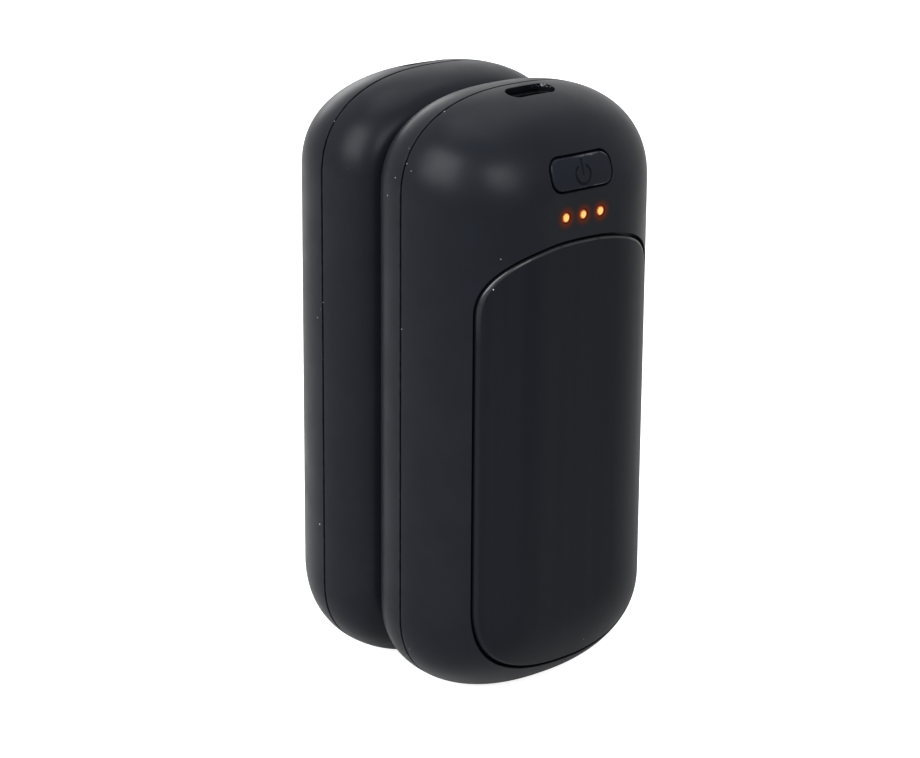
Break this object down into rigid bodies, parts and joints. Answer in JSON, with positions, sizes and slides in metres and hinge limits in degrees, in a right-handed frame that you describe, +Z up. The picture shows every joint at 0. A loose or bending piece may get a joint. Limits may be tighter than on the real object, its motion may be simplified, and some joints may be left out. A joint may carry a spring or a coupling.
{
  "type": "rechargeable hand warmer",
  "caption": "Rechargeable hand warmer: rounded units held back to back by magnets, each with a curved heat plate, power button, indicator lights and USB-C socket.",
  "frame": {"origin": "middle of the bounding box in X and Y, at the level of the surface that both units stand on", "axes": "+Z up along each unit's length; -Y out of the front unit's heat plate; +X to the right when the heat plate is looked at"},
  "size_m": [0.0468, 0.0528, 0.0996],
  "materials": {
    "shell": "fine matte texture, near-black grey",
    "heat_plate": "dark satin coating on aluminium",
    "button": "fine matte texture with an engraved power symbol",
    "light": "clear amber light guide, lit",
    "film": "amber polyimide film",
    "foam": "closed-cell foam",
    "black_plastic": "moulded black plastic",
    "led": "white package with a yellow lens",
    "board": "green solder mask",
    "steel": "bright drawn steel",
    "cell": "silver laminate pouch",
    "tape": "double-sided foam tape",
    "magnet": "nickel plating"
  },
  "bodies": {
    "rear_unit": {"rear_unit_shell": "shell", "rear_unit_cover": "shell", "rear_unit_heat_plate": "heat_plate", "rear_unit_heating_film": "film", "rear_unit_foam_pad": "foam", "rear_unit_tact_switch": "black_plastic", "rear_unit_light_guide": "light", "rear_unit_led_left": "led", "rear_unit_led_middle": "led", "rear_unit_led_right": "led", "rear_unit_circuit_board": "board", "rear_unit_board_screw_left": "steel", "rear_unit_board_screw_right": "steel", "rear_unit_usb_sleeve": "steel", "rear_unit_usb_tongue": "black_plastic", "rear_unit_battery": "cell", "rear_unit_battery_tape": "tape", "rear_unit_magnet_low": "magnet", "rear_unit_magnet_high": "magnet", "rear_unit_thermistor": "black_plastic"},
    "rear_button": {"rear_unit_power_button": "button", "rear_unit_switch_plunger": "black_plastic"},
    "front_unit": {"front_unit_shell": "shell", "front_unit_cover": "shell", "front_unit_heat_plate": "heat_plate", "front_unit_heating_film": "film", "front_unit_foam_pad": "foam", "front_unit_tact_switch": "black_plastic", "front_unit_light_guide": "light", "front_unit_led_left": "led", "front_unit_led_middle": "led", "front_unit_led_right": "led", "front_unit_circuit_board": "board", "front_unit_board_screw_left": "steel", "front_unit_board_screw_right": "steel", "front_unit_usb_sleeve": "steel", "front_unit_usb_tongue": "black_plastic", "front_unit_battery": "cell", "front_unit_battery_tape": "tape", "front_unit_magnet_low": "magnet", "front_unit_magnet_high": "magnet", "front_unit_thermistor": "black_plastic"},
    "front_button": {"front_unit_power_button": "button", "front_unit_switch_plunger": "black_plastic"}
  },
  "joints": [
    {"name": "front_unit_pull", "type": "slide", "parent": "rear_unit", "child": "front_unit", "axis": [0, -1, 0], "range_m": [0, 0.04]},
    {"name": "front_button_press", "type": "slide", "parent": "front_unit", "child": "front_button", "axis": [0, 1, 0], "range_m": [0, 0.0004], "stiffness_N_per_m": 2000},
    {"name": "rear_button_press", "type": "slide", "parent": "rear_unit", "child": "rear_button", "axis": [0, -1, 0], "range_m": [0, 0.0004], "stiffness_N_per_m": 2000}
  ]
}
